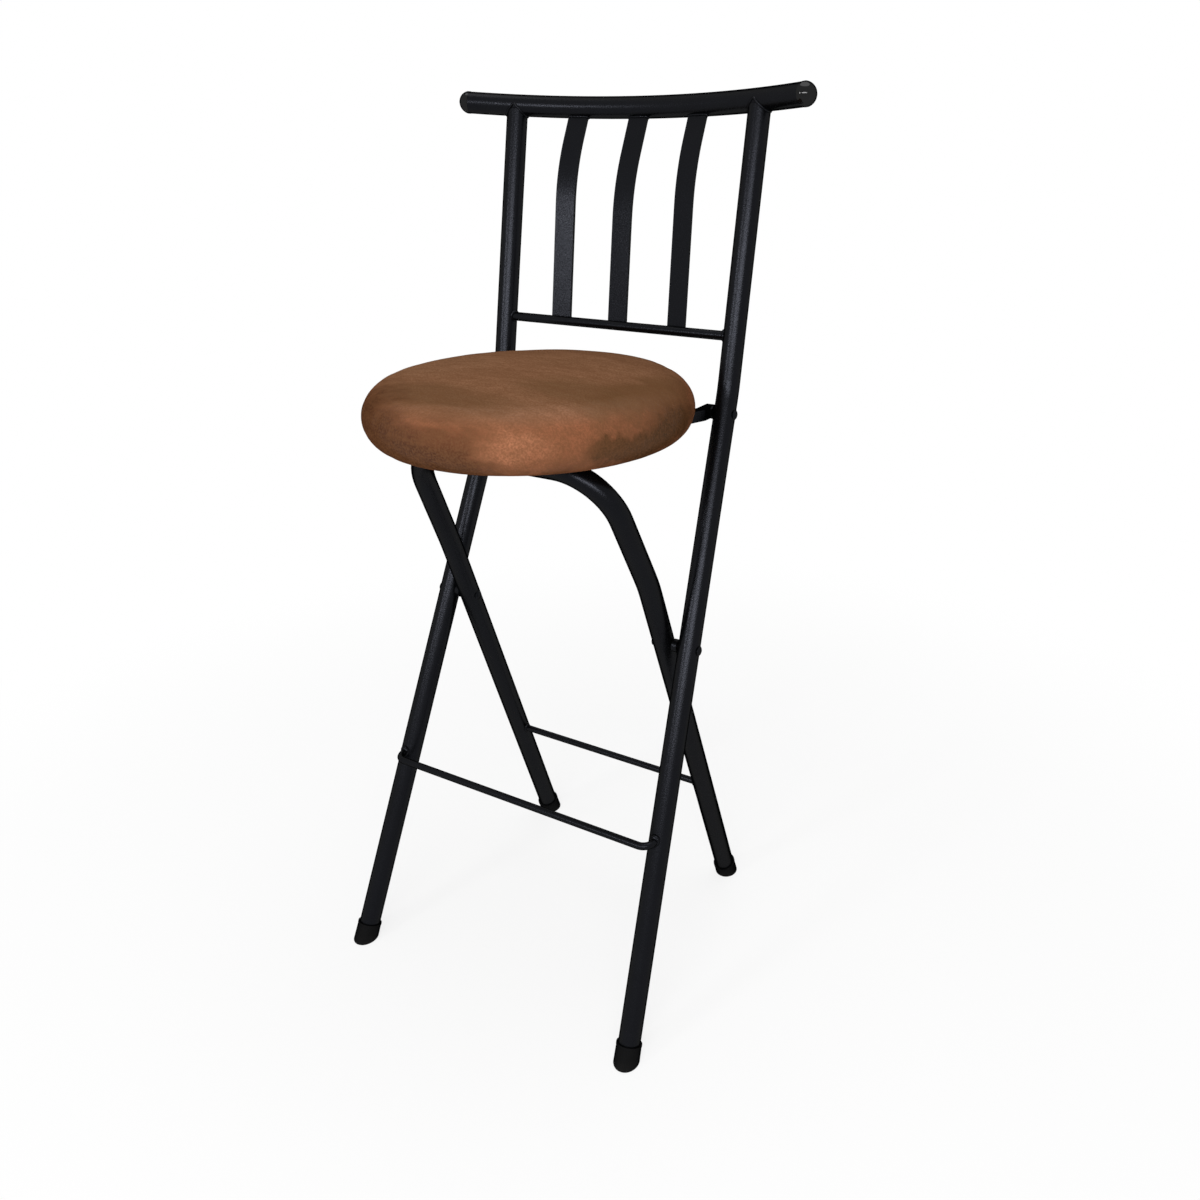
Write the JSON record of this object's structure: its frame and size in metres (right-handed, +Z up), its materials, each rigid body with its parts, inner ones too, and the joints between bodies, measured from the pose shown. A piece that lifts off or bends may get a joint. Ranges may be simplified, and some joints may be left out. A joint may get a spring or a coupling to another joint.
{
  "type": "folding bar stool with backrest",
  "caption": "Folding bar stool: black tubular steel legs that cross in an X, a slatted back under a bowed top rail, and a round padded seat that lifts as the legs fold.",
  "frame": {"origin": "on the floor, under the middle of the stool's overall box", "axes": "+Z up, the sitter faces -Y, +X to the right of someone facing the stool"},
  "size_m": [0.475, 0.429, 1.0203],
  "materials": {
    "black_steel": "satin black powder coat with a fine grain",
    "gloss_black_cap": "glossy black plastic",
    "black_rubber": "matte black rubber",
    "plywood": "plain plywood",
    "seat_foam": "upholstery foam",
    "brown_microsuede": "brushed brown microsuede"
  },
  "bodies": {
    "back_frame": {"upright_left": "black_steel", "upright_right": "black_steel", "top_rail": "black_steel", "rail_cap_left": "gloss_black_cap", "rail_cap_right": "gloss_black_cap", "back_slat_1": "black_steel", "back_slat_2": "black_steel", "back_slat_3": "black_steel", "back_lower_bar": "black_steel", "front_footrest": "black_steel", "front_foot_left": "black_rubber", "front_foot_right": "black_rubber", "leg_rivets": "black_steel", "leg_spacers": "black_steel", "seat_rivets": "black_steel", "seat_washers": "black_steel"},
    "rear_legs": {"rear_leg_frame": "black_steel", "rear_stretcher": "black_steel", "rear_foot_left": "black_rubber", "rear_foot_right": "black_rubber"},
    "seat": {"seat_arm_left": "black_steel", "seat_arm_right": "black_steel", "seat_rest_bar": "black_steel", "seat_screws": "black_steel", "seat_board": "plywood", "seat_foam": "seat_foam", "seat_cover": "brown_microsuede"}
  },
  "joints": [
    {"name": "leg_fold", "type": "hinge", "parent": "back_frame", "child": "rear_legs", "pos_m": [0, -0.0029, 0.42307], "axis": [-1, 0, 0], "range_deg": [0, 42]},
    {"name": "seat_fold", "type": "hinge", "parent": "back_frame", "child": "seat", "pos_m": [0, 0.10688, 0.67], "axis": [-1, 0, 0], "range_deg": [0, 52.5]}
  ],
  "couplings": [
    {"joint": "seat_fold", "follows": "leg_fold", "ratio": 1.25}
  ]
}
